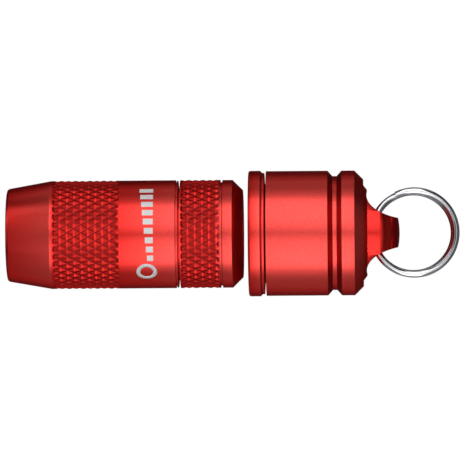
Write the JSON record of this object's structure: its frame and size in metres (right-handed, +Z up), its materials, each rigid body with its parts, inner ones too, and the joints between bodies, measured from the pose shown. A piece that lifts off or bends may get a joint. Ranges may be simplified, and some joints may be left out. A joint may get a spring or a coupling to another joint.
{
  "type": "keychain flashlight",
  "caption": "Small keychain flashlight held by a magnet on a charging dock, whose plug hides in a wide cap with a lug and split ring.",
  "frame": {"origin": "centre of the hole in the cap's lug, on the main axis, where the split ring passes through", "axes": "X along the flashlight: -X is the way the light shines, +X the split ring's side; Z is up and is the axis of the lug's hole; the plug lies flat, its width along Y"},
  "size_m": [0.0599, 0.0166, 0.0166],
  "materials": {
    "red_anodised": "fine turned, red anodised",
    "ring_steel": "polished nickel-plated spring steel",
    "plug_steel": "pressed steel sheet",
    "magnet_nickel": "nickel plated sintered magnet",
    "gold_plate": "gold plated brass",
    "black_rubber": "matt",
    "black_plastic": "moulded",
    "white_board": "white solder mask",
    "green_board": "green solder mask",
    "clear_lens": "polished",
    "silvered": "silvered",
    "phosphor": "phosphor in silicone",
    "cell_wrap": "heat-shrink wrap on a metal can",
    "clear_film": "insulating film"
  },
  "bodies": {
    "key_ring": {"split_ring": "ring_steel"},
    "cap": {"cap_shell": "red_anodised"},
    "dock": {"dock_collar": "red_anodised", "dock_carrier": "black_plastic", "dock_magnet": "magnet_nickel", "dock_seal": "black_rubber", "pin_barrel": "gold_plate", "pin_spring": "plug_steel", "plug_shell": "plug_steel", "plug_tongue": "white_board", "plug_contact_1": "gold_plate", "plug_contact_2": "gold_plate", "plug_contact_3": "gold_plate", "plug_contact_4": "gold_plate", "charging_chip": "black_plastic"},
    "contact_pin": {"pin_plunger": "gold_plate"},
    "light": {"head_body": "red_anodised", "tail_sleeve": "red_anodised", "lens_seal": "black_rubber", "lens": "clear_lens", "reflector": "silvered", "led_emitter": "phosphor", "led_dome": "clear_lens", "led_board": "white_board", "driver_board": "green_board", "lithium_cell": "cell_wrap", "cell_sleeve": "clear_film", "body_seal": "black_rubber", "tail_board": "green_board", "hall_sensor": "black_plastic", "keeper_plate": "plug_steel", "tail_insulator": "black_plastic", "tail_contact": "gold_plate"}
  },
  "joints": [
    {"name": "ring_swing", "type": "hinge", "parent": "key_ring", "child": "cap", "pos_m": [0, 0, 0], "axis": [0, 0, 1], "range_deg": [-90, 90]},
    {"name": "cap_pull", "type": "slide", "parent": "cap", "child": "dock", "axis": [-1, 0, 0], "range_m": [0, 0.014]},
    {"name": "light_pull", "type": "slide", "parent": "dock", "child": "light", "axis": [-1, 0, 0], "range_m": [-0.0019, 0.03]},
    {"name": "pin_press", "type": "slide", "parent": "dock", "child": "contact_pin", "axis": [1, 0, 0], "range_m": [0, 0.0003], "stiffness_N_per_m": 400, "springref_m": -0.0005, "deforming": ["pin_spring"]}
  ]
}
